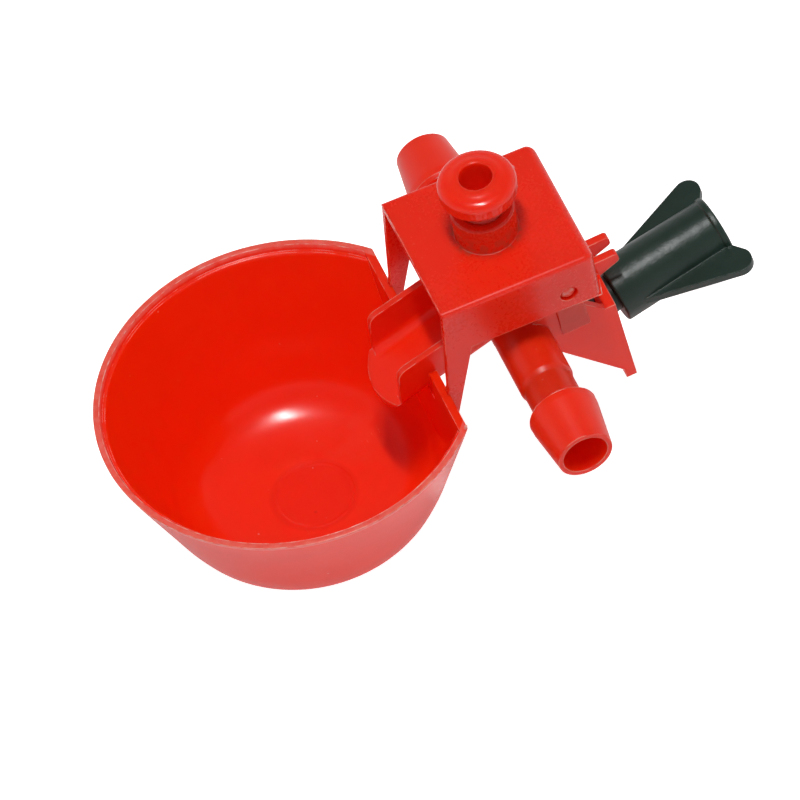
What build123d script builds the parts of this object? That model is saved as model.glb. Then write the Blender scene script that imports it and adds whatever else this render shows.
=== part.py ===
from build123d import *
import math
import os

os.makedirs("parts", exist_ok=True)

# A plastic drinking cup for poultry. Millimetres, +Z up. The origin is the middle of the water pipe,
# X runs along the pipe, +Y points at the cage that the rear plate is clamped to.

# Water pipe and its two hose barbs
pipe_radius = 5.8
pipe_half_length = 44.5
bore_radius = 4.85
neck_start = 23.7
neck_radius = 5.4
neck_ramp = 1.2
barb_start = 31.2
barb_radius = 7.3
barb_shoulder = 0.5
barb_edge_length = 0.7
barb_edge_depth = 0.5
barb_land = 1.6
barb_end_radius = 5.9

# Hinge of the lid, in the frame of the pipe
hinge_back = 11.0
hinge_up = 15.0
trunnion_radius = 1.85
trunnion_clearance = 0.08
trunnion_recess = 0.45
trunnion_chamfer = 0.6
raise_angle = 4.0
rock_angle = 8.0

# Lid, legs and screw boss, measured from the hinge
lid_width = 33.7
lid_length = 33.8
lid_behind_hinge = 6.9
lid_above_hinge = 8.7
lid_thickness = 2.0
skirt_depth = 12.8
skirt_thickness = 1.6
lid_edge_radius = 1.0
lid_corner_radius = 2.0
leg_width = 4.8
leg_sink = 0.9
leg_foot_depth = 10.2
boss_radius = 6.7
boss_height = 7.3
boss_edge = 0.4
boss_mouth = 1.0
collar_radius = 5.3
collar_depth = 2.4
screw_arm = 10.2

# Bowl, measured from its flat rear wall and from the rim
rim_radius = 40.0
rear_wall_cut = 10.0
wall_ahead_of_hinge = 28.7
rim_below_hinge = 16.2
bowl_wall = 1.8
bowl_depth = 38.5
bowl_straight = 10.0
bowl_draft = 1.4
bowl_side_radius = 21.5
bowl_flat_radius = 9.0
rim_step_depth = 1.3
rim_step_width = 0.5
notch_margin = 0.8
notch_depth = 8.4

# Chute that carries the water into the bowl
chute_half_width = 8.8
chute_wall = 1.4
chute_floor = 1.6
chute_floor_slope = 17.6
chute_floor_at_pipe = 0.7
chute_front = 28.0
chute_lip = 3.2
chute_side_front = 26.6
chute_side_lean = 1.2
chute_side_front_top = 3.6
chute_side_corner = 3.0
chute_side_slope = 15.7
chute_outer_round = 3.4
chute_inner_round = 2.0
seat_floor = 6.4

# Nozzle under the adjusting screw
nozzle_height = 2.9
nozzle_base_radius = 3.0
nozzle_seat_radius = 2.1
nozzle_bore_radius = 1.25

# Rear bracket that is clamped to the cage
bracket_back = 20.25
bracket_half_width = 12.5
bracket_top = -0.25
bracket_bottom = -24.3
bracket_thickness = 2.3
gusset_thickness = 1.5
gusset_bottom = -21.6
ear_radius = 3.7
ear_shoulder_back = 14.0
ear_shoulder_up = 4.2
fin_spacing = 4.8
fin_thickness = 1.8
fin_height = 3.4
fin_reach = 5.0
fin_root = 1.0
fin_tip_rise = 1.2
fin_edge = 0.9

# Adjusting screw and the rubber plug in its end
screw_radius = 4.6
screw_clearance = 0.08
screw_head_radius = 8.2
screw_head_band = 3.1
screw_head_round = 1.6
screw_head_gap = 5.2
screw_head_edge = 0.5
screw_socket_radius = 3.45
screw_socket_depth = 9.0
screw_relief_radius = 3.9
screw_relief_height = 1.2
seal_radius = 3.4
seal_height = 1.6
seal_dome = 0.5
seal_stem_radius = 1.7
seal_stem_length = 2.6
closed_gap = 0.12

# Return spring
spring_radius = 6.05
spring_wire_radius = 0.4
spring_wire_sides = 8
spring_turns = 4.0
spring_gap = 0.1
spring_room = 0.4

# Wing screw behind the rear plate
wing_axis_down = 12.9
wing_pitch = 4.7
wing_yaw = 6.2
wing_gap = 2.1
shank_radius = 4.0
shank_clearance = 0.32
shank_length = 11.0
shank_chamfer = 0.7
barrel_radius = 6.8
barrel_end_radius = 6.6
barrel_length = 26.0
barrel_edge = 0.3
barrel_lip = 0.35
barrel_lip_length = 1.6
barrel_bore_radius = 4.4
barrel_bore_depth = 21.0
wing_start = 3.4
wing_reach = 13.9
wing_overhang = 1.9
wing_root_radius = 0.5
wing_tip_radius = 2.9
wing_thickness = 1.8

# Places that follow from the sizes above
lever = Pos(0, hinge_back, hinge_up) * Rot(-raise_angle, 0, 0)
rear_wall_offset = rim_radius - rear_wall_cut
rim_ahead_of_hinge = wall_ahead_of_hinge + rear_wall_offset
chute_slope_ratio = math.tan(math.radians(chute_floor_slope))
side_slope_ratio = math.tan(math.radians(chute_side_slope))
nozzle_top = seat_floor + nozzle_height
shut_angle = math.radians(rock_angle - raise_angle)
seal_face_up = nozzle_top + closed_gap
seal_face_drop = (hinge_up - screw_arm * math.sin(shut_angle) - seal_face_up) / math.cos(shut_angle)
nozzle_back = hinge_back - screw_arm * math.cos(shut_angle) + seal_face_drop * math.sin(shut_angle)
chute_back = nozzle_back + spring_radius + spring_wire_radius + spring_room + chute_wall
beyond = 4 * pipe_half_length


def block(low, high):
    """Box between two opposite corners."""
    size = [b - a for a, b in zip(low, high)]
    middle = [(a + b) / 2 for a, b in zip(low, high)]
    return Pos(*middle) * Box(*size)


def side_profile(points, half_width, centre=0.0):
    """Solid of a (y, z) outline, standing across the X axis."""
    outline = Polyline(*points, close=True)
    face = Plane.YZ * make_face(outline)
    return Pos(centre, 0, 0) * extrude(face, half_width, both=True)


def pipe_profile(wall_points):
    """Solid of revolution about the pipe's axis from (x, radius) points."""
    ends = [(wall_points[0][0], 0), *wall_points, (wall_points[-1][0], 0)]
    return revolve(make_face(Polyline(*ends, close=True)), Axis.X)


# Bowl: a round cup with a straight upper band and a rounded base, cut by a flat rear wall
def bowl_form(inset):
    """Solid of the bowl's outline, moved inwards by inset; its base has a tight side and a wide bottom."""
    top_radius = rim_radius - inset
    base_radius = top_radius - bowl_draft
    side_radius = bowl_side_radius - inset
    base_height = bowl_depth - bowl_straight - inset
    side_centre = base_radius - side_radius
    reach_squared = side_centre ** 2 + base_height ** 2 - side_radius ** 2
    wide_radius = reach_squared / (2 * (base_height - side_radius))
    turn = math.degrees(math.atan2(wide_radius - base_height, side_centre))
    wide_up = wide_radius - base_height - bowl_straight
    depth = bowl_straight + base_height
    band = Line((top_radius, 0), (base_radius, -bowl_straight))
    side = CenterArc((side_centre, -bowl_straight), side_radius, -turn, turn)
    base = CenterArc((0, wide_up), wide_radius, -90, 90 - turn)
    middle = Line((0, -depth), (0, 0))
    top = Line((0, 0), (top_radius, 0))
    form = revolve(Plane.XZ * make_face([band, side, base, middle, top]), Axis.Z)
    flat_cut = wide_radius - math.sqrt(wide_radius ** 2 - bowl_flat_radius ** 2)
    return form - block((-beyond, -beyond, -beyond), (beyond, beyond, -depth + flat_cut))


def bowl():
    ahead = block((-beyond, -beyond, -beyond), (beyond, rear_wall_offset, beyond))
    ahead_inside = block((-beyond, -beyond, -beyond), (beyond, rear_wall_offset - bowl_wall, beyond))
    outside = bowl_form(0) & ahead
    inside = bowl_form(bowl_wall)
    step_radius = rim_radius - bowl_wall + rim_step_width
    step = Pos(0, 0, -rim_step_depth / 2) * Cylinder(step_radius, rim_step_depth)
    shell = outside - ((inside + step) & ahead_inside)
    notch_half = chute_half_width + notch_margin
    notch_low = (-notch_half, rear_wall_offset - 2 * bowl_wall, -notch_depth)
    notch = block(notch_low, (notch_half, beyond, bowl_wall))
    return Pos(0, -rim_ahead_of_hinge, -rim_below_hinge) * (shell - notch)


# Lid: square plate with side skirts, a boss for the screw and two legs down to the bowl
def lid():
    half = lid_width / 2
    front = lid_behind_hinge - lid_length
    back = lid_behind_hinge
    top = lid_above_hinge
    low = top - skirt_depth
    outside = block((-half, front, low), (half, back, top))
    long_edges = outside.edges().filter_by(Axis.Y).group_by(Axis.Z)[-1]
    outside = fillet(long_edges, lid_edge_radius)
    back_edges = outside.edges().filter_by(Axis.Z).group_by(Axis.Y)[-1]
    outside = fillet(back_edges, lid_corner_radius)
    inner = half - skirt_thickness
    hollow = block((-inner, -beyond, -beyond), (inner, beyond, top - lid_thickness))
    boss_high = top + boss_height
    boss_length = boss_height + lid_thickness / 2
    boss = Pos(0, -screw_arm, boss_high - boss_length / 2) * Cylinder(boss_radius, boss_length)
    boss = chamfer(boss.edges().group_by(Axis.Z)[-1], boss_edge)
    collar_length = collar_depth + lid_thickness / 2
    collar_middle = top - lid_thickness - collar_depth + collar_length / 2
    boss += Pos(0, -screw_arm, collar_middle) * Cylinder(collar_radius, collar_length)
    hole_radius = screw_radius + screw_clearance
    bore = Pos(0, -screw_arm, 0) * Cylinder(hole_radius, beyond)
    mouth_cone = Cone(hole_radius - boss_mouth, hole_radius + boss_mouth, 2 * boss_mouth)
    mouth = Pos(0, -screw_arm, boss_high) * mouth_cone
    pin_hole = Rot(0, 90, 0) * Cylinder(trunnion_radius + trunnion_clearance, 2 * lid_width)
    return (outside - hollow + boss) - bore - mouth - pin_hole


def leg(side):
    """Flat leg that carries on the skirt's front edge and runs down the back of the rear wall."""
    front = lid_behind_hinge - lid_length
    skirt_low = lid_above_hinge - skirt_depth
    inside_wall = -wall_ahead_of_hinge - leg_sink
    foot = -rim_below_hinge - leg_foot_depth
    points = [
        (front, lid_above_hinge - lid_thickness),
        (front + leg_width, lid_above_hinge - lid_thickness),
        (front + leg_width, skirt_low),
        (-wall_ahead_of_hinge, foot),
        (inside_wall, foot),
        (inside_wall, -rim_below_hinge - bowl_wall),
        (-wall_ahead_of_hinge, -rim_below_hinge + bowl_wall),
    ]
    middle = side * (lid_width - skirt_thickness) / 2
    return side_profile(points, skirt_thickness / 2, middle)


def cup_and_lid():
    one_piece = bowl() + lid() + leg(-1) + leg(1)
    return lever * one_piece


# Valve body: pipe, chute, nozzle, trunnions and rear bracket in one moulding
def pipe_wall():
    shoulder = barb_start + barb_shoulder
    half = [
        (0, pipe_radius),
        (neck_start, pipe_radius),
        (neck_start + neck_ramp, neck_radius),
        (barb_start, neck_radius),
        (shoulder, barb_radius - barb_edge_depth),
        (shoulder + barb_edge_length, barb_radius),
        (shoulder + barb_edge_length + barb_land, barb_radius),
        (pipe_half_length, barb_end_radius),
    ]
    other = [(-x, radius) for x, radius in reversed(half[1:])]
    return pipe_profile(other + half)


def floor_height(y):
    """Height of the chute's floor at y, ahead of the pipe."""
    return chute_floor_at_pipe + (y + pipe_radius) * chute_slope_ratio


def chute_floor_plan():
    """Plan of the chute's floor: straight sides and a bowed front lip."""
    left = (-chute_half_width, -chute_front)
    right = (chute_half_width, -chute_front)
    lip = ThreePointArc(left, (0, -chute_front - chute_lip), right)
    sides = Polyline(right, (chute_half_width, chute_back), (-chute_half_width, chute_back), left)
    return extrude(make_face([lip, sides]), beyond, both=True)


def side_top(y):
    """Height of the chute's side walls at y."""
    return chute_side_front_top + (y + chute_side_front) * side_slope_ratio


def trough(half_width, rounding, height_at_pipe):
    """Sloping bar with a rounded underside, ahead of the pipe, for the chute's outside and inside."""
    section = Rectangle(2 * half_width, beyond, align=(Align.CENTER, Align.MIN))
    section = fillet(section.vertices().group_by(Axis.Y)[0], rounding)
    bar = extrude(Plane.XZ * section, beyond, both=True)
    bar = Pos(0, -pipe_radius, height_at_pipe) * Rot(chute_floor_slope, 0, 0) * bar
    return bar & block((-beyond, -beyond, -beyond), (beyond, -pipe_radius, beyond))


def chute():
    tip = -chute_front - chute_lip
    wall_foot = -chute_side_front - chute_side_lean
    corner = (-chute_side_front, chute_side_front_top)
    under = chute_floor_at_pipe - chute_floor
    outline = [
        (tip, -beyond),
        (tip, floor_height(tip)),
        (wall_foot, floor_height(wall_foot)),
        corner,
        (-pipe_radius, side_top(-pipe_radius)),
        (-pipe_radius, -beyond),
    ]
    side_view = make_face(Polyline(*outline, close=True))
    side_view = fillet(side_view.vertices().sort_by_distance(corner)[0], chute_side_corner)
    front = extrude(Plane.YZ * side_view, chute_half_width, both=True)
    front = front & trough(chute_half_width, chute_outer_round, under) & chute_floor_plan()
    rear_outline = [
        (-pipe_radius, side_top(-pipe_radius)),
        (chute_back, side_top(chute_back)),
        (chute_back, 0),
        (-pipe_radius, under),
    ]
    rear = side_profile(rear_outline, chute_half_width)
    inner = chute_half_width - chute_wall
    rear_space = block((-inner, -pipe_radius, seat_floor), (inner, chute_back - chute_wall, beyond))
    return front + rear - trough(inner, chute_inner_round, chute_floor_at_pipe) - rear_space


def nozzle():
    sunk = nozzle_height + chute_floor / 2
    cone = Cone(nozzle_base_radius, nozzle_seat_radius, sunk)
    return Pos(0, nozzle_back, nozzle_top - sunk / 2) * cone


def bracket_side(side):
    """Gusset, ear and trunnion on one side of the bracket."""
    inner = bracket_half_width - gusset_thickness
    middle = side * (inner + gusset_thickness / 2)
    plate_front = bracket_back - bracket_thickness
    slope_start = pipe_radius * math.cos(math.radians(45))
    gusset_points = [
        (0, bore_radius),
        (slope_start, -slope_start),
        (plate_front, gusset_bottom),
        (bracket_back, gusset_bottom),
        (bracket_back, bracket_top),
        (plate_front, bracket_top),
        (ear_shoulder_back, ear_shoulder_up),
        (hinge_back + ear_radius, hinge_up),
        (hinge_back - ear_radius, hinge_up),
        (pipe_radius, pipe_radius),
    ]
    gusset = side_profile(gusset_points, gusset_thickness / 2, middle)
    turn = Rot(0, 90, 0)
    gusset += Pos(middle, hinge_back, hinge_up) * turn * Cylinder(ear_radius, gusset_thickness)
    pin_end = lid_width / 2 - trunnion_recess
    pin_length = pin_end - inner
    pin = chamfer(Cylinder(trunnion_radius, pin_length).edges().group_by(Axis.Z)[-1], trunnion_chamfer)
    facing = Rot(0, 90 * side, 0)
    return gusset + Pos(side * (inner + pin_length / 2), hinge_back, hinge_up) * facing * pin


def guide_fin(side):
    """Rounded fin above the clamping plate that keeps a cage wire beside the screw."""
    plate_front = bracket_back - bracket_thickness
    root = bracket_top - fin_root
    top = bracket_top + fin_height
    back = bracket_back + fin_reach
    points = [
        (plate_front, root),
        (bracket_back, root),
        (back, bracket_top + fin_tip_rise),
        (back, top),
        (plate_front, top),
    ]
    fin = side_profile(points, fin_thickness / 2, side * fin_spacing / 2)
    rear_edges = fin.edges().filter_by(Axis.X).group_by(Axis.Y)[-1]
    return fillet(rear_edges, fin_edge)


def wing_axis():
    """Place of the wing screw in the middle of the plate, tilted as it sits loose; its +Z points back."""
    seat = Pos(0, bracket_back - bracket_thickness / 2, -wing_axis_down)
    return seat * Rot(0, 0, wing_yaw) * Rot(-90 + wing_pitch, 0, 0)


def valve_body():
    plate_low = (-bracket_half_width, bracket_back - bracket_thickness, bracket_bottom)
    plate = block(plate_low, (bracket_half_width, bracket_back, bracket_top))
    screw_hole = Pos(0, bracket_back, -wing_axis_down) * Rot(90, 0, 0)
    screw_hole = screw_hole * Cylinder(shank_radius + shank_clearance, 4 * bracket_thickness)
    body = pipe_wall() + chute() + nozzle() + (plate - screw_hole)
    for side in (-1, 1):
        body += bracket_side(side) + guide_fin(side)
    water_bore = Rot(0, 90, 0) * Cylinder(bore_radius, 3 * pipe_half_length)
    orifice = Pos(0, nozzle_back, nozzle_top / 2) * Cylinder(nozzle_bore_radius, nozzle_top + nozzle_height)
    return body - water_bore - orifice


# Adjusting screw: its length below the lid is what shuts the valve when the bowl is down
def adjusting_screw():
    head_low = lid_above_hinge + boss_height + screw_head_gap
    top = head_low + screw_head_band + screw_head_round
    tip = seal_height - seal_face_drop
    relief = tip + screw_relief_height
    flat_radius = screw_head_radius - screw_head_round
    profile = [
        (0, tip),
        (screw_relief_radius, tip),
        (screw_relief_radius, relief),
        (screw_radius, relief + screw_radius - screw_relief_radius),
        (screw_radius, head_low),
        (screw_head_radius - screw_head_edge, head_low),
        (screw_head_radius, head_low + screw_head_edge),
        (screw_head_radius, head_low + screw_head_band),
    ]
    rounding = CenterArc((flat_radius, head_low + screw_head_band), screw_head_round, 0, 90)
    crown = Polyline((flat_radius, top), (0, top), (0, tip))
    solid = revolve(Plane.XZ * make_face([Polyline(*profile), rounding, crown]), Axis.Z)
    socket = Pos(0, 0, top - screw_socket_depth / 2) * Cylinder(screw_socket_radius, screw_socket_depth)
    stem_hole = Pos(0, 0, tip + seal_stem_length / 2) * Cylinder(seal_stem_radius, seal_stem_length)
    return lever * Pos(0, -screw_arm, 0) * (solid - socket - stem_hole)


def valve_seal():
    """Plug with a slightly domed face, so that it meets the nozzle squarely when the lid is tilted."""
    face = -seal_face_drop
    tip = face + seal_height
    stem_end = tip + seal_stem_length
    dome_radius = (seal_radius ** 2 + seal_dome ** 2) / (2 * seal_dome)
    half_turn = math.degrees(math.asin(seal_radius / dome_radius))
    crown = CenterArc((0, face + dome_radius), dome_radius, -90, half_turn)
    sides = [
        (seal_radius, face + seal_dome),
        (seal_radius, tip),
        (seal_stem_radius, tip),
        (seal_stem_radius, stem_end),
        (0, stem_end),
        (0, face),
    ]
    plug = revolve(Plane.XZ * make_face([crown, Polyline(*sides)]), Axis.Z)
    return lever * Pos(0, -screw_arm, 0) * plug


# Return spring between the nozzle's floor and the lid
def return_spring():
    tilt = math.sin(math.radians(raise_angle))
    arm_height = hinge_up + screw_arm * tilt
    lid_under = arm_height + (lid_above_hinge - lid_thickness) * math.cos(math.radians(raise_angle))
    low = seat_floor + spring_wire_radius + spring_gap
    high = lid_under - spring_radius * tilt - 2 * spring_wire_radius - spring_gap
    height = high - low
    path = Helix(height / spring_turns, height, spring_radius)
    wire_start = Plane(origin=path @ 0, z_dir=path % 0)
    coil = sweep(wire_start * RegularPolygon(spring_wire_radius, spring_wire_sides), path)
    return Pos(0, nozzle_back, low) * coil


# Wing screw: hollow barrel with two wings, its threaded shank through the rear plate
def wing(side, front, end):
    """One flat wing: narrow at the front of the barrel, with a round tip behind its end."""
    root_circle = Circle(wing_root_radius)
    inside = 2 * wing_root_radius
    root = Pos(barrel_radius - inside, front + wing_start) * root_circle
    tip = Pos(wing_reach - wing_tip_radius, end + wing_overhang - wing_tip_radius) * Circle(wing_tip_radius)
    heel = Pos(barrel_end_radius - inside, end - barrel_lip_length) * root_circle
    outline = make_hull(root.edges() + tip.edges() + heel.edges())
    plate = extrude(Plane.XZ * outline, wing_thickness / 2, both=True)
    return plate if side > 0 else mirror(plate, Plane.YZ)


def wing_screw():
    front = bracket_thickness / 2 + wing_gap
    end = front + barrel_length
    lip_start = end - barrel_lip_length
    lip_radius = barrel_end_radius + barrel_lip
    outline = [
        (0, front - shank_length),
        (shank_radius - shank_chamfer, front - shank_length),
        (shank_radius, front - shank_length + shank_chamfer),
        (shank_radius, front),
        (barrel_radius - barrel_edge, front),
        (barrel_radius, front + barrel_edge),
        (barrel_end_radius, lip_start),
        (lip_radius, lip_start + barrel_lip),
        (lip_radius, end - barrel_lip),
        (lip_radius - barrel_lip, end),
        (0, end),
    ]
    form = revolve(Plane.XZ * make_face(Polyline(*outline, close=True)), Axis.Z)
    for side in (-1, 1):
        form += wing(side, front, end)
    bore = Pos(0, 0, end - barrel_bore_depth / 2) * Cylinder(barrel_bore_radius, barrel_bore_depth)
    return wing_axis() * (form - bore)


pieces = {
    "cup_and_lid": cup_and_lid(),
    "valve_body": valve_body(),
    "adjusting_screw": adjusting_screw(),
    "valve_seal": valve_seal(),
    "return_spring": return_spring(),
    "wing_screw": wing_screw(),
}

for name, shape in pieces.items():
    export_step(shape, f"parts/{name}.step")
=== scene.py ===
import math

import bmesh
import bpy
from mathutils import Matrix, Vector, noise


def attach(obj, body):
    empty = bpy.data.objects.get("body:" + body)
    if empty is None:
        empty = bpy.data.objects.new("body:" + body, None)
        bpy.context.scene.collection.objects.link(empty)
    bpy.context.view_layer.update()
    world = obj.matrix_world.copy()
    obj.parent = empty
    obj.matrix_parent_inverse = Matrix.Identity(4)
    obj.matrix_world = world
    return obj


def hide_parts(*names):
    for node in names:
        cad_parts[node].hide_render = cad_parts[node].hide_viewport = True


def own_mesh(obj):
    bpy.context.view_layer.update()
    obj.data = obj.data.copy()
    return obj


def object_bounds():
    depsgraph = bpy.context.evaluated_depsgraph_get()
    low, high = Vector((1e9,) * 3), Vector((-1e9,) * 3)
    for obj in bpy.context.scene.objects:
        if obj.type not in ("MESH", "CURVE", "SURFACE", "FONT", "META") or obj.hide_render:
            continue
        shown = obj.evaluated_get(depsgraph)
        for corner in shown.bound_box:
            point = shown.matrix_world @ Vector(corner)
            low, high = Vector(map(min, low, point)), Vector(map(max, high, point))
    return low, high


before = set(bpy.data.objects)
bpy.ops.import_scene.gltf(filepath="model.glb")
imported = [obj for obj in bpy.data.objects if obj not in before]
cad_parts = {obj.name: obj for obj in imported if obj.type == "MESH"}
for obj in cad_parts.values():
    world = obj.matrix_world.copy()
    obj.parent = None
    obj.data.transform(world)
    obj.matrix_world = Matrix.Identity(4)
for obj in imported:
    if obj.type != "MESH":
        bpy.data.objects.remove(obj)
cad_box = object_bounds()

# Studio: a camera far off with a long lens, and one long soft lamp that hangs high beside it.
# The camera looks down on the cup's right-hand side, rolled so that the water pipe points down
# to the right.
MM = 0.001
aim = Vector((6.92, -27.66, -6.53)) * MM
camera_azimuth = 83.14
camera_elevation = 52.11
camera_distance = 2.0
camera_roll = -19.15
camera_lens = 437.7
camera_reach = 10.0
lamp_azimuth = 118
lamp_elevation = 82
lamp_distance = 0.9
lamp_roll = -22
lamp_width = 0.036
lamp_length = 0.26
lamp_power = 4.9


def stand(name, data, azimuth, elevation, distance, roll):
    """Camera or lamp that faces the cup from an azimuth and elevation, in degrees, and a distance."""
    a = math.radians(azimuth)
    e = math.radians(elevation)
    towards = Vector((math.sin(a) * math.cos(e), -math.cos(a) * math.cos(e), math.sin(e)))
    aimed = (-towards).to_track_quat("-Z", "Y").to_matrix().to_4x4()
    rolled = Matrix.Rotation(math.radians(roll), 4, "Z")
    stood = bpy.data.objects.new(name, data)
    bpy.context.scene.collection.objects.link(stood)
    stood.matrix_world = Matrix.Translation(aim + towards * distance) @ aimed @ rolled
    return stood


view = bpy.data.cameras.new("camera")
view.lens = camera_lens
view.clip_end = camera_reach
camera = stand("camera", view, camera_azimuth, camera_elevation, camera_distance, camera_roll)
bpy.context.scene.camera = camera
bpy.context.scene.view_settings.view_transform = "Standard"

lamp = bpy.data.lights.new("strip_lamp", "AREA")
lamp.shape = "RECTANGLE"
lamp.size = lamp_width
lamp.size_y = lamp_length
lamp.energy = lamp_power
stand("strip_lamp", lamp, lamp_azimuth, lamp_elevation, lamp_distance, lamp_roll)

# Table and room: a wide white table, low enough under the cup for the bowl to rock down, in a pale
# room with bright walls and a dimmer ceiling. The camera sees both as plain white.
pure_white = (1, 1, 1, 1)
table_size = 6.0
table_colour = (0.93, 0.93, 0.93, 1)
table_white = 0.85
table_mirrored = 0.2
room_to_rock = 0.012
room_edge = 0.72
room_top = 0.18
ceiling_starts = 0.1
ceiling_full = 0.85


class Shade:
    """One value in a material: sums on it add Math nodes, and node() adds any other node."""

    def __init__(self, tree, socket=None):
        self.tree = tree
        self.socket = socket

    def node(self, kind, settings=None, inputs=None, out=0):
        """Node of any kind: its settings come first, then the values or links of its sockets."""
        made = self.tree.nodes.new(kind)
        for key, value in (settings or {}).items():
            setattr(made, key, value)
        for key, value in (inputs or {}).items():
            if isinstance(value, Shade):
                self.tree.links.new(value.socket, made.inputs[key])
            else:
                made.inputs[key].default_value = value
        return Shade(self.tree, made.outputs[out] if made.outputs else None)

    def sum(self, operation, first, second):
        return self.node("ShaderNodeMath", {"operation": operation}, {0: first, 1: second})

    def __add__(self, other):
        return self.sum("ADD", self, other)

    def __radd__(self, other):
        return self.sum("ADD", other, self)

    def __sub__(self, other):
        return self.sum("SUBTRACT", self, other)

    def __rsub__(self, other):
        return self.sum("SUBTRACT", other, self)

    def __mul__(self, other):
        return self.sum("MULTIPLY", self, other)

    def __rmul__(self, other):
        return self.sum("MULTIPLY", other, self)

    def ramp(self, low, high):
        """0 below low, 1 above high and a smooth change between them."""
        settings = {"interpolation_type": "SMOOTHSTEP", "clamp": True}
        return self.node("ShaderNodeMapRange", settings, {"Value": self, "From Min": low, "From Max": high})

    def tint(self, plain, marked):
        """Colour that goes from plain to marked as this value goes from 0 to 1."""
        settings = {"data_type": "RGBA", "clamp_factor": True}
        return self.node("ShaderNodeMix", settings, {0: self, 6: plain, 7: marked}, out=2)


def new_finish(name):
    """Empty material and the first Shade of its tree."""
    material = bpy.data.materials.new(name)
    material.use_nodes = True
    material.node_tree.nodes.clear()
    return material, Shade(material.node_tree)


table_z = cad_box[0][2] - room_to_rock
bpy.ops.mesh.primitive_plane_add(size=table_size, location=(0, 0, table_z))
table = bpy.context.object
table.name = "table"
table_finish, table_shade = new_finish("white_table")
paper = table_shade.node("ShaderNodeBsdfDiffuse", None, {"Color": table_colour})
glow = table_shade.node("ShaderNodeEmission", None, {"Color": pure_white, "Strength": table_white})
glowing_paper = table_shade.node("ShaderNodeAddShader", None, {0: paper, 1: glow})
seen = table_shade.node("ShaderNodeLightPath")
mirrored = table_shade.node("ShaderNodeLightPath", out="Is Glossy Ray")
whiteness = seen + mirrored * table_mirrored
table_top = table_shade.node("ShaderNodeMixShader", None, {0: whiteness, 1: paper, 2: glowing_paper})
table_shade.node("ShaderNodeOutputMaterial", None, {"Surface": table_top})
table.data.materials.append(table_finish)

world = bpy.data.worlds.new("room")
bpy.context.scene.world = world
world.use_nodes = True
world.node_tree.nodes.clear()
room = Shade(world.node_tree)
shown = room.node("ShaderNodeLightPath")
facing = room.node("ShaderNodeTexCoord", out="Generated")
overhead = room.node("ShaderNodeSeparateXYZ", None, {0: facing}, out=2).ramp(ceiling_starts, ceiling_full)
soft = overhead * (room_top - room_edge) + room_edge
strength = shown + (1 - shown) * soft
walls = room.node("ShaderNodeBackground", None, {"Color": pure_white, "Strength": strength})
room.node("ShaderNodeOutputWorld", None, {"Surface": walls})

# Bowl: the lower part of the cup, which is one moulding in half gloss red polypropylene. Its thin
# edges are scuffed to a pale pink, its faces carry fine handling scratches, and water has dried to a
# dull film on its floor, whose paler cloud near the lamp's highlight is a painted reflection.
bowl_red = (1.0, 0.022, 0.001, 1)
worn_pink = (0.95, 0.36, 0.30, 1)
floor_red = (0.70, 0.008, 0.002, 1)
# Paler red of the dried water film, which also serves as painted reflection near the highlight.
film_sheen_red = (0.86, 0.10, 0.06, 1)
# Brown of the dust round the boss, which also darkens its foot as painted shade in the crease.
dust_and_shade_brown = (0.30, 0.07, 0.03, 1)
gate_dark = (0.33, 0.004, 0.002, 1)
deeper = 0.93
smooth = 0.15
mottle_scale = 45.0
grain_scale = 1400.0
breaks_scale = 520.0
worn_scale = 230.0
speck_scale = 330.0
film_sheen_scale = 170.0
wear_width = 0.00045
scratch_turns = ((0.5, 0.2, 0.9), (1.9, 0.7, 2.4))
scratch_stretch = (60, 2600, 2600)
relief_depth = 0.00006

hinge = Vector((0, 11, 15))
lid_slope = math.radians(4)
lid_up = Vector((0, math.sin(lid_slope), math.cos(lid_slope)))
bowl_back = 58.7
rim_height = -16.2
rear_wall = 30.0
wall = 1.8
rim_top_width = 1.3
rim_step = 1.3
step_lean = 0.45
ledge_width = 0.5
ledge_fall = 0.05
bowl_outline = [
    (0, 40.0), (4, 38.6), (8, 37.1), (12, 35.6), (16, 34.1), (20, 32.6), (24, 31.1), (27, 29.8),
    (30, 28.3), (32.5, 26.3), (34.5, 23.8), (36, 20.6), (37, 16.3), (37.45, 12.4), (37.55, 9.0),
]
middle_radius = 0.02
round_columns = 168
flat_columns = 24
rows_between = 5
joined_within = 0.000002
crease = math.radians(35)

# Marks on the cup, in metres: where each lies, and from where to where its edge fades.
floor_middle = Vector((0, -50.3, -33.7)) * MM
patch_edge = (0.0088, 0.0100)
ring_inside = (0.0078, 0.0081)
ring_outside = (0.0084, 0.0087)
gate_mark = Vector((4.2, -51.7, -33.4)) * MM
gate_edge = (0.0004, 0.0009)
film_sheen_middle = Vector((-9, -38, -31)) * MM
film_sheen_edge = (0.010, 0.022)
film_sheen_wander = 0.012
rim_middle = Vector((0, -48.69, 2.94)) * MM
rim_level = rim_middle.dot(lid_up)
rim_below = (-0.0013, -0.0010)
rim_above = (0.0003, 0.0006)
rim_reach = (0.0383, 0.0386)
boss_foot = Vector((0, 1.43, 24.39)) * MM
dust_and_shade_edge = (0.0070, 0.0084)


def patches(shade, place, scale, detail=2.0):
    """Soft uneven patches over a surface, so many to the metre."""
    return shade.node("ShaderNodeTexNoise", None, {"Vector": place, "Scale": scale, "Detail": detail})


def compare(shade, operation, first, second):
    """Number that a Vector Math node finds for two vectors."""
    return shade.node("ShaderNodeVectorMath", {"operation": operation}, {0: first, 1: second}, out=1)


def away(shade, place, middle):
    """Distance of the surface from a point, in metres."""
    return compare(shade, "DISTANCE", place, middle)


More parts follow.
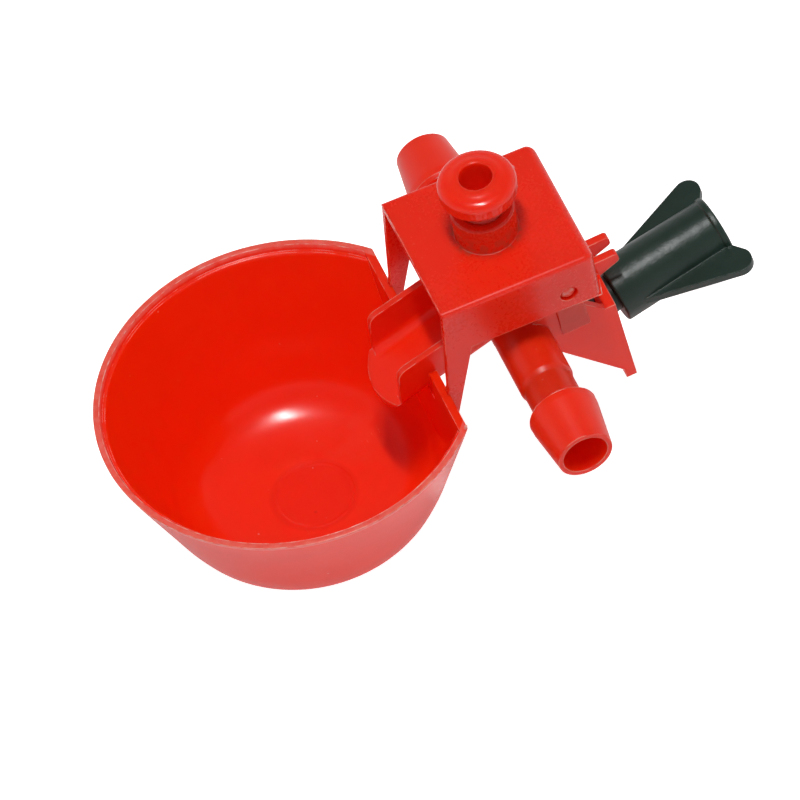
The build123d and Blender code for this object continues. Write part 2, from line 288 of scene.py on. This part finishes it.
def rounding(shade, radius):
    """Normal that is rounded over at edges, and how far it leans from the flat one."""
    rounded = shade.node("ShaderNodeBevel", {"samples": 6}, {"Radius": radius})
    flat = shade.node("ShaderNodeNewGeometry", out=1)
    return rounded, 1 - compare(shade, "DOT_PRODUCT", rounded, flat)


def lay_skin(shade, sockets):
    """Gives the material its surface, one Principled shader with these sockets."""
    skin = shade.node("ShaderNodeBsdfPrincipled", None, sockets)
    shade.node("ShaderNodeOutputMaterial", None, {"Surface": skin})


def red_plastic(name, red, wear=1.0, marks=None, dull=0.0):
    """Half gloss red plastic with scuffed edges, faint mottling, specks and fine scratches."""
    material, shade = new_finish(name)
    place = shade.node("ShaderNodeTexCoord", out=3)
    mottle = patches(shade, place, mottle_scale, 3.0)
    grain = patches(shade, place, grain_scale)
    breaks = patches(shade, place, breaks_scale, 4.0)
    worn_runs = patches(shade, place, worn_scale, 3.0)
    rounded, lean = rounding(shade, wear_width)
    edge = lean.ramp(0.02, 0.22) * worn_runs.ramp(0.42, 0.58) * wear

    lines = []
    for turn in scratch_turns:
        drawn = {"Vector": place, "Rotation": turn, "Scale": scratch_stretch}
        stretched = shade.node("ShaderNodeMapping", None, drawn)
        lines.append(patches(shade, stretched, 1.0, 1.0).ramp(0.70, 0.76))
    scratches = (lines[0] + lines[1]) * mottle.ramp(0.45, 0.62)
    cells = shade.node("ShaderNodeTexVoronoi", None, {"Vector": place, "Scale": speck_scale})
    specks = (1 - cells.ramp(0.05, 0.11)) * breaks.ramp(0.60, 0.66)

    deep_red = tuple(deeper * c for c in red[:3]) + (1,)
    colour = mottle.ramp(0.35, 0.65).tint(deep_red, red)
    roughness = smooth + dull + mottle * 0.08 + grain * 0.05 + edge * 0.2 + scratches * 0.03
    height = grain * 0.25 + mottle * 2.5 + breaks * 0.4 + scratches * 0.1
    if marks:
        colour, roughness, height = marks(shade, place, breaks, colour, roughness, height)
    colour = (edge * 0.75 + scratches * 0.02 + specks * 0.35).tint(colour, worn_pink)
    relief = {"Strength": 0.22, "Distance": relief_depth, "Height": height, "Normal": rounded}
    lay_skin(shade, {
        "Base Color": colour,
        "Roughness": roughness,
        "Normal": shade.node("ShaderNodeBump", None, relief),
        "Specular IOR Level": 0.42,
        "Subsurface Weight": 0.7,
        "Subsurface Radius": (1.0, 0.12, 0.06),
        "Subsurface Scale": 0.006,
        "IOR": 1.49,
    })
    return material


def cup_marks(shade, place, breaks, colour, roughness, height):
    """Moulded ring and gate mark on the bowl's floor, dried water film with painted reflection, dust with
    painted shade round the boss.
    """
    from_floor = away(shade, place, floor_middle)
    patch = 1 - from_floor.ramp(*patch_edge)
    ring = from_floor.ramp(*ring_inside) * (1 - from_floor.ramp(*ring_outside))
    gate = 1 - away(shade, place, gate_mark).ramp(*gate_edge)
    # Film of dried water, partly a paler painted reflection of the room near the lamp's highlight.
    clouds = patches(shade, place, film_sheen_scale)
    wander = patches(shade, place, mottle_scale, 3.0) * film_sheen_wander
    film_sheen = 1 - (away(shade, place, film_sheen_middle) + wander).ramp(*film_sheen_edge)
    above_rim = compare(shade, "DOT_PRODUCT", place, lid_up) - rim_level
    rim = above_rim.ramp(*rim_below) * (1 - above_rim.ramp(*rim_above))
    rim = rim * away(shade, place, rim_middle).ramp(*rim_reach)
    # Dust round the boss's foot, and painted shade darkening the crease there.
    dust_and_shade = (1 - away(shade, place, boss_foot).ramp(*dust_and_shade_edge)) * breaks.ramp(0.44, 0.58)
    colour = (patch * 0.3).tint(colour, floor_red)
    colour = (film_sheen * clouds.ramp(0.40, 0.70) * 0.10).tint(colour, film_sheen_red)
    colour = (dust_and_shade * 0.35).tint(colour, dust_and_shade_brown)
    colour = (rim * (breaks * 0.5 + 0.05)).tint(colour, worn_pink)
    colour = (gate * 0.7).tint(colour, gate_dark)
    return colour, roughness + film_sheen * 0.03 + dust_and_shade * 0.1, height + ring * 6.0 - gate * 12.0


def on_lever(x, y, z):
    """Point of the cup and lid, given from the hinge along the lid, as a point of the model in mm."""
    back = y * math.cos(lid_slope) + z * math.sin(lid_slope)
    up = z * math.cos(lid_slope) - y * math.sin(lid_slope)
    return hinge + Vector((x, back, up))


def skin_over(rings, capped=False):
    """Points and faces of a skin laid over rings of equal length, open or closed at its ends."""
    size = len(rings[0])
    points = [p for ring in rings for p in ring]
    faces = []
    for k in range(len(rings) - 1):
        for c in range(size):
            d = (c + 1) % size
            faces.append((k * size + c, k * size + d, (k + 1) * size + d, (k + 1) * size + c))
    if capped:
        faces.append(tuple(reversed(range(size))))
        faces.append(tuple(range(len(points) - size, len(points))))
    return points, faces


def mesh_piece(name, skin, finish, body):
    """Piece from a skin in mm, smooth between its sharp creases, that moves with a body."""
    points, faces = skin
    mesh = bpy.data.meshes.new(name)
    mesh.from_pydata([p * MM for p in points], [], faces)
    work = bmesh.new()
    work.from_mesh(mesh)
    bmesh.ops.remove_doubles(work, verts=work.verts, dist=joined_within)
    bmesh.ops.recalc_face_normals(work, faces=work.faces)
    work.to_mesh(mesh)
    work.free()
    mesh.polygons.foreach_set("use_smooth", [True] * len(mesh.polygons))
    mesh.set_sharp_from_angle(angle=crease)
    mesh.materials.append(finish)
    piece = bpy.data.objects.new(name, mesh)
    bpy.context.scene.collection.objects.link(piece)
    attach(piece, body)
    return piece


def smooth_outline(corners, between):
    """Points of a smooth line through the corners, with so many steps between two of them."""
    line = []
    for k in range(len(corners) - 1):
        a, b, c, d = (Vector(corners[min(max(k + n, 0), len(corners) - 1)]) for n in (-1, 0, 1, 2))
        for step in range(between):
            t = step / between
            bend = (2 * a - 5 * b + 4 * c - d) * t * t + (3 * b - a - 3 * c + d) * t * t * t
            line.append(0.5 * (2 * b + (c - a) * t + bend))
    return line + [Vector(corners[-1])]


def bowl_ring(depth, radius, plane):
    """One level ring of the bowl, round in front and cut flat by the rear wall."""
    corner = math.asin(min(1.0, plane / radius))
    half = radius * math.cos(corner)
    back = min(plane, radius)
    ring = []
    for k in range(round_columns):
        a = math.pi - corner + (math.pi + 2 * corner) * k / round_columns
        ring.append((radius * math.cos(a), radius * math.sin(a)))
    ring.extend((half - 2 * half * k / flat_columns, back) for k in range(flat_columns))
    return [on_lever(x, y - bowl_back, rim_height - depth) for x, y in ring]


def bowl_rings():
    """Rings of the bowl from the middle of its base up its outside, over the rim and down inside."""
    outer = smooth_outline(bowl_outline, rows_between)
    inner = []
    for k, at in enumerate(outer):
        slope = (outer[min(k + 1, len(outer) - 1)] - outer[max(k - 1, 0)]).normalized()
        inner.append(at + Vector((slope.y, -slope.x)) * wall)
    inner = [at for at in inner if at.x > rim_step + 2 * ledge_fall]
    rim_radius = outer[0].y
    rim_corners = [
        (0, rim_radius - rim_top_width),
        (rim_step, rim_radius - rim_top_width - step_lean),
        (rim_step + ledge_fall, rim_radius - wall - ledge_width),
    ]
    outside = [(outer[-1].x, middle_radius)] + [(at.x, at.y) for at in reversed(outer)]
    inside = rim_corners + [(at.x, at.y) for at in inner] + [(inner[-1].x, middle_radius)]
    rings = [bowl_ring(depth, radius, rear_wall) for depth, radius in outside]
    return rings + [bowl_ring(depth, radius, rear_wall - wall) for depth, radius in inside]


cup_red = red_plastic("cup_red", bowl_red, marks=cup_marks)
bowl = mesh_piece("bowl", skin_over(bowl_rings()), cup_red, "cup")
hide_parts("cup_and_lid")

# Notch in the bowl's rear wall, moulded with it, through which the chute reaches into the bowl.
# It is cut with a plain box that stands through the wall.
notch_half = 9.6
notch_low = 8.4
notch_above = 3
notch_front = 26
notch_rear = 32
notch_corners = [
    (notch_front, -notch_low), (notch_rear, -notch_low),
    (notch_rear, notch_above), (notch_front, notch_above),
]
notch_ends = [
    [on_lever(x, y - bowl_back, rim_height + z) * MM for y, z in notch_corners]
    for x in (-notch_half, notch_half)
]
notch_points, notch_faces = skin_over(notch_ends, capped=True)
cutter_mesh = bpy.data.meshes.new("notch")
cutter_mesh.from_pydata(notch_points, [], notch_faces)
cutter = bpy.data.objects.new("notch", cutter_mesh)
bpy.context.scene.collection.objects.link(cutter)
cut = bowl.modifiers.new("notch", "BOOLEAN")
cut.object = cutter
cut.operation = "DIFFERENCE"
cut.solver = "EXACT"
bpy.context.view_layer.objects.active = bowl
bpy.ops.object.modifier_apply(modifier="notch")
bpy.data.objects.remove(cutter)
bowl.data.set_sharp_from_angle(angle=crease)

# Lid with its side skirts and two legs: the upper part of the cup's moulding, a little duller, and its
# red painted darker than the bowl's as painted shade. It rocks on the trunnions with the bowl, and dust
# with painted shade lies round the foot of its boss.
# The bowl's plastic, painted darker as painted shade where the lamp falls hard on the lid's top.
lid_shaded_red = (0.86, 0.021, 0.004, 1)
rear_y = rear_wall - bowl_back
bowl_margin = 0.02


def from_lever(point):
    """The reverse of on_lever: a point of the model in mm as a point measured along the lid."""
    arm = point - hinge
    y = arm.y * math.cos(lid_slope) - arm.z * math.sin(lid_slope)
    z = arm.y * math.sin(lid_slope) + arm.z * math.cos(lid_slope)
    return Vector((arm.x, y, z))


def in_bowl(corner):
    """Whether a corner of the solid belongs to the bowl, in front of its rear wall and under its rim."""
    p = from_lever(corner.co / MM)
    return p.y < rear_y + bowl_margin and p.z < rim_height + bowl_margin


lid_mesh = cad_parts["cup_and_lid"].data.copy()
lid_work = bmesh.new()
lid_work.from_mesh(lid_mesh)
of_bowl = [face for face in lid_work.faces if all(in_bowl(corner) for corner in face.verts)]
bmesh.ops.delete(lid_work, geom=of_bowl, context="FACES")
lid_work.to_mesh(lid_mesh)
lid_work.free()
lid_mesh.materials.clear()
lid_mesh.materials.append(red_plastic("lid_shaded_red", lid_shaded_red, marks=cup_marks, dull=0.06))
lid = bpy.data.objects.new("lid_and_legs", lid_mesh)
bpy.context.scene.collection.objects.link(lid)
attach(lid, "cup")
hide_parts("cup_and_lid")

# Flash of the cup and lid: a thin ragged line of pale, worn plastic that the mould's joint left along
# the bowl's rim, the front of the lid and the lower rear corners of its skirts.
flash_pink = (0.96, 0.50, 0.43, 1)
flash_red = (0.90, 0.07, 0.04, 1)
flash_step = 0.45
flash_sides = 6
flash_lean = Vector((0.31, 0.2, 0.93))
flash_inset = 0.1
slow_swell = 0.07
quick_swell = 0.24
thinnest = 0.2
tip_share = 0.1
rim_inside = 38.75
rim_outside = 39.95
lid_half = 16.2
lid_front = -26.9
lid_top = 8.7
lid_back = 6.9
skirt_out = 16.85
skirt_low = -4.1
skirt_run_up = 5
skirt_run_along = 6

flash_finish, flash_shade = new_finish("flash_pink")
flash_breaks = patches(flash_shade, flash_shade.node("ShaderNodeTexCoord", out=3), 600.0, 3.0)
lay_skin(flash_shade, {
    "Base Color": flash_breaks.ramp(0.35, 0.75).tint(flash_red, flash_pink),
    "Roughness": flash_breaks * 0.2 + 0.3,
    "Subsurface Weight": 0.2,
    "Subsurface Scale": 0.001,
})


def steps_round(radius, start, end):
    """Angles from start to end, which are in degrees, in steps of a flash line at that radius."""
    count = max(2, round(abs(math.radians(end - start)) * radius / flash_step))
    return [math.radians(start + (end - start) * k / count) for k in range(count + 1)]


def rim_arc(radius, start, end):
    """Points of an arc at the level of the bowl's rim, round its middle."""
    around = steps_round(radius, start, end)
    return [on_lever(radius * math.cos(a), radius * math.sin(a) - bowl_back, rim_height) for a in around]


def run(first, last):
    """Points of a straight edge."""
    count = max(2, round((last - first).length / flash_step))
    return [first.lerp(last, k / count) for k in range(count + 1)]


def flash(name, path, thickness, body, seed):
    """Ragged bead of flash along an edge, thick and thin by turns."""
    last = len(path) - 1
    rings = []
    for k, at in enumerate(path):
        ahead = path[min(k + 1, last)] - path[max(k - 1, 0)]
        side = ahead.cross(flash_lean).normalized()
        up = side.cross(ahead).normalized()
        slow = noise.noise(Vector((k * slow_swell, seed, 0)))
        quick = noise.noise(Vector((k * quick_swell, seed, 5)))
        radius = thickness * max(thinnest, 0.6 + 0.5 * (slow + 0.6 * quick))
        if k in (0, last):
            radius *= tip_share
        around = [2 * math.pi * s / flash_sides for s in range(flash_sides)]
        rings.append([at + side * radius * math.cos(a) + up * radius * math.sin(a) for a in around])
    mesh_piece(name, skin_over(rings, capped=True), flash_finish, body)


flash("rim_flash_inner", rim_arc(rim_inside, 46.8, -226.8), 0.13, "cup", 1)
flash("rim_flash_outer", rim_arc(rim_outside, 47, -70), 0.10, "cup", 2)
front_left = on_lever(-lid_half, lid_front, lid_top - flash_inset)
front_right = on_lever(lid_half, lid_front, lid_top - flash_inset)
flash("lid_flash_front", run(front_left, front_right), 0.11, "cup", 3)
for side in (-1, 1):
    corner = on_lever(side * skirt_out, lid_back - flash_inset, skirt_low)
    up_edge = on_lever(side * skirt_out, lid_back - flash_inset, skirt_low + skirt_run_up)
    low_edge = on_lever(side * skirt_out, lid_back - skirt_run_along, skirt_low)
    both_edges = run(up_edge, corner) + run(corner, low_edge)[1:]
    flash(f"skirt_flash_{side + 1}", both_edges, 0.15, "cup", 4 + side)
prong_foot = on_lever(26.3, rear_y - 0.6, rim_height - 0.4)
prong_top = on_lever(26.6, rear_y - 0.3, rim_height + 1.1)
prong_tip = prong_top + Vector((0.02, 0, 0.3))
flash("corner_prong", run(prong_foot, prong_top) + [prong_tip], 0.55, "cup", 9)

# Valve body: water pipe, chute, nozzle and rear bracket in one red moulding, of the same plastic as
# the cup but duller. The worn ends of its two trunnions show in the sides of the lid.
valve_red = (0.97, 0.022, 0.002, 1)
trunnion_out = 16.4
trunnion_ends = [(hinge + Vector((x, 0, 0))) * MM for x in (trunnion_out, -trunnion_out)]
trunnion_edge = (0.0011, 0.0016)


def valve_marks(shade, place, breaks, colour, roughness, height):
    """Pale worn ends of the two trunnions."""
    right, left = (1 - away(shade, place, end).ramp(*trunnion_edge) for end in trunnion_ends)
    worn = (right + left) * breaks.ramp(0.40, 0.56)
    return (worn * 0.8).tint(colour, worn_pink), roughness + worn * 0.2, height + worn * 4.0


def dress(node, material):
    """Gives a solid of the model its finish."""
    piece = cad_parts[node]
    piece.data.materials.clear()
    piece.data.materials.append(material)


dress("valve_body", red_plastic("valve_red", valve_red, wear=1.2, marks=valve_marks, dull=0.13))

# Flash of the valve body: thin worn lines of the same plastic, which the mould's joint left on the
# barbs' shoulders, beside their necks and round the pipe's ends. They are listed with distance
# from the pipe's middle, radius, degrees to each side of the top, thickness and seed.
pipe_flash = [
    ("barb_flash", 32.4, 7.3, 130, 0.10, 11),
    ("neck_flash", 31.75, 6.75, 120, 0.12, 17),
    ("pipe_end_flash", 44.3, 5.85, 175, 0.09, 14),
]


def hoop(x, radius, reach):
    """Points of an arc round the water pipe at a distance from its middle."""
    around = steps_round(radius, -reach, reach)
    return [Vector((x, radius * math.sin(a), radius * math.cos(a))) for a in around]


for side in (-1, 1):
    for name, distance, radius, reach, thickness, seed in pipe_flash:
        path = hoop(side * distance, radius, reach)
        flash(f"{name}_{side + 1}", path, thickness, "valve", seed + side)

# Raised pads on the bracket's two cheeks, under the trunnions. They are part of the valve body's
# moulding, in the same red plastic, with softly rounded edges.
pad_corners = [(7.9, -1.7), (14.1, -1.7), (14.1, 7.2), (7.9, 7.2)]
pad_in = 12.3
pad_out = 12.95
pad_round = 0.2
pad_red = red_plastic("pad_red", valve_red)
for side in (-1, 1):
    pad_rings = [[Vector((side * x, y, z)) for y, z in pad_corners] for x in (pad_in, pad_out)]
    pad_skin = skin_over(pad_rings, capped=True)
    pad = mesh_piece(f"cheek_pad_{side + 1}", pad_skin, pad_red, "valve")
    edges = pad.modifiers.new("edges", "BEVEL")
    edges.width = pad_round * MM
    edges.segments = 3

# Adjusting screw: a red moulded head with a finely ribbed band and a blind hole, on a coarse thread
# of 1.5 mm pitch that turns in the lid's boss.
knob_red = (0.90, 0.022, 0.004, 1)
screw_arm = 10.2
thread_pitch = 1.5
thread_crest = 4.6
thread_root = 4.05
thread_low = -1.3
thread_row = 0.15
thread_fade = 0.8
flank_slope = 2.4
flank_start = 0.05
neck_radius = 4.3
neck_low = 19.6
neck_land = 0.2
neck_fade = 0.6
head_low = 21.2
head_top = 25.9
head_radius = 8.2
head_round = 2.3
head_chamfer = 0.4
underside_middle = 6.5
crown_fall = 0.45
socket_radius = 3.45
socket_depth = 9.0
socket_round = 0.35
small_round = 0.3
rib_count = 44
rib_depth = 0.10
rib_fade = 0.8
rib_start = 0.1
band_margin = 0.05
nib_angle = math.radians(95)
nib_height = 22.9
nib_proud = 0.65
nib_spread = 0.045
nib_tall = 0.45
tip_radius = 3.9
tip_low = -3.28
columns = rib_count * 4


def head_outline():
    """Radius and height along the screw's head, from the hole's floor to the underside."""
    hole_floor = head_top - socket_depth
    outline = [(0.0, hole_floor), (socket_radius - small_round, hole_floor)]
    outline.append((socket_radius, hole_floor + small_round))
    outline.extend((socket_radius, head_top - socket_depth * k / 6) for k in (4, 3, 2, 1))
    for k in range(5):
        a = math.radians(90 * k / 4)
        reach = socket_radius + socket_round * (1 - math.cos(a))
        outline.append((reach, head_top - socket_round * (1 - math.sin(a))))
    crown = head_radius - head_round
    for k in (1, 2, 3):
        reach = socket_radius + socket_round + (crown - socket_radius - socket_round) * k / 4
        outline.append((reach, head_top - crown_fall * (k / 4) ** 2))
    for k in range(9):
        a = math.radians(90 * k / 8)
        fall = crown_fall + (head_round - crown_fall) * (1 - math.cos(a))
        outline.append((crown + head_round * math.sin(a), head_top - fall))
    band_high = head_top - head_round
    band_low = head_low + head_chamfer
    outline.extend((head_radius, band_high + (band_low - band_high) * k / 8) for k in range(1, 9))
    outline.append((head_radius - 0.3 * head_chamfer, head_low + 0.3 * head_chamfer))
    outline.extend((radius, head_low) for radius in (head_radius - head_chamfer, underside_middle))
    outline.extend([(neck_radius + small_round, head_low), (neck_radius, head_low - small_round)])
    return outline


def screw_rows():
    """Every ring of the screw: radius, height and whether it is on the thread."""
    rows = [(radius, height, False) for radius, height in head_outline()]
    rows.append((neck_radius, neck_low + neck_land, False))
    length = neck_low - thread_low
    count = round(length / thread_row)
    rows.extend((thread_root, neck_low - length * k / count, True) for k in range(count + 1))
    rows.append((tip_radius, thread_low - small_round, False))
    rows.extend([(tip_radius, tip_low, False), (0.0, tip_low, False)])
    return rows


def screw_point(radius, height, threaded, angle):
    """Point of the screw's skin, with its thread, ribs and the small nib that its gate left."""
    if threaded:
        phase = (height / thread_pitch - angle / (2 * math.pi)) % 1.0
        ridge = max(0.0, min(1.0, flank_slope * (0.5 - abs(phase - 0.5)) - flank_start))
        fade = min(1.0, (height - thread_low) / thread_fade, (neck_low - height) / thread_fade)
        radius = thread_root + (thread_crest - thread_root) * ridge * max(0.0, fade)
        radius += (neck_radius - thread_root) * max(0.0, 1 - (neck_low - height) / neck_fade)
    elif radius > head_radius - band_margin:
        below_crown = head_top - head_round + rib_start - height
        on_band = max(0.0, min(1.0, below_crown / rib_fade))
        radius -= rib_depth * on_band * (0.5 - 0.5 * math.cos(rib_count * angle))
        off = (angle - nib_angle + math.pi) % (2 * math.pi) - math.pi
        radius += nib_proud * math.exp(-(off / nib_spread) ** 2 - ((height - nib_height) / nib_tall) ** 2)
    return on_lever(radius * math.cos(angle), radius * math.sin(angle) - screw_arm, height)


screw_turns = [2 * math.pi * c / columns for c in range(columns)]
screw_rings = [[screw_point(*row, angle) for angle in screw_turns] for row in screw_rows()]
screw_red = red_plastic("screw_red", knob_red, wear=0.8)
screw = mesh_piece("adjusting_screw_thread", skin_over(screw_rings), screw_red, "screw")
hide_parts("adjusting_screw")

# Valve seal: a plug of soft black rubber, pressed into the end of the adjusting screw. It closes the
# nozzle when the bowl is down.
rubber_black = (0.02, 0.02, 0.02, 1)
rubber, rubber_shade = new_finish("seal_rubber")
rubber_grain = patches(rubber_shade, rubber_shade.node("ShaderNodeTexCoord", out=3), 1500.0)
lay_skin(rubber_shade, {"Base Color": rubber_black, "Roughness": rubber_grain * 0.2 + 0.5})
dress("valve_seal", rubber)

# Return spring: an open coil of drawn steel wire round the nozzle. It holds the lid up while the
# bowl is empty and shortens as the bowl fills and rocks down; here the coil keeps one length.
steel = (0.62, 0.62, 0.60, 1)
steel_tarnished = (0.48, 0.46, 0.43, 1)
coil_middle = Vector((0, 1.165, 6.9))
coil_radius = 6.05
coil_flare = 0.5
flare_from = 0.5
flare_over = 0.3
coil_height = 14.17
coil_turns = 4
coil_steps = 40
wire_radius = 0.4
wire_sides = 10

wire, wire_shade = new_finish("spring_wire")
wire_grain = patches(wire_shade, wire_shade.node("ShaderNodeTexCoord", out=3), 900.0)
lay_skin(wire_shade, {
    "Base Color": wire_grain.ramp(0.4, 0.7).tint(steel, steel_tarnished),
    "Metallic": 1.0,
    "Roughness": wire_grain * 0.2 + 0.2,
})
upwards = Vector((0, 0, 1))
coil_rings = []
for k in range(coil_turns * coil_steps + 1):
    turn = 2 * math.pi * k / coil_steps
    share = k / (coil_turns * coil_steps)
    outwards = Vector((math.cos(turn), math.sin(turn), 0))
    radius = coil_radius + coil_flare * min(1, max(0, (share - flare_from) / flare_over))
    at = coil_middle + outwards * radius + upwards * coil_height * share
    around = [2 * math.pi * w / wire_sides for w in range(wire_sides)]
    coil_rings.append([at + (outwards * math.cos(b) + upwards * math.sin(b)) * wire_radius for b in around])
coil = mesh_piece("spring_coil", skin_over(coil_rings, capped=True), wire, "valve")
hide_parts("return_spring")
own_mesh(coil)

# Wing screw: hollow barrel, two wings and a threaded shank in one moulding of very dark green
# plastic, with a drier, slightly rippled skin. It clamps the cage's wires against the rear plate.
green = (0.015, 0.034, 0.025, 1)
green_deep = (0.011, 0.026, 0.019, 1)
green_worn = (0.09, 0.13, 0.11, 1)
wing_wear_width = 0.0004
ripple_depth = 0.00016

dark_green, wing_shade = new_finish("wing_green")
wing_place = wing_shade.node("ShaderNodeTexCoord", out=3)
ripple = patches(wing_shade, wing_place, 420.0, 4.0)
wing_mottle = patches(wing_shade, wing_place, 70.0)
wing_rounded, wing_lean = rounding(wing_shade, wing_wear_width)
wing_edge = wing_lean.ramp(0.03, 0.25) * ripple.ramp(0.42, 0.60)
wing_plain = wing_mottle.ramp(0.3, 0.7).tint(green_deep, green)
rippled = {"Strength": 0.8, "Distance": ripple_depth, "Height": ripple, "Normal": wing_rounded}
lay_skin(wing_shade, {
    "Base Color": (wing_edge * 0.5).tint(wing_plain, green_worn),
    "Roughness": 0.30 + ripple * 0.14,
    "Normal": wing_shade.node("ShaderNodeBump", None, rippled),
    "Specular IOR Level": 0.36,
})
dress("wing_screw", dark_green)
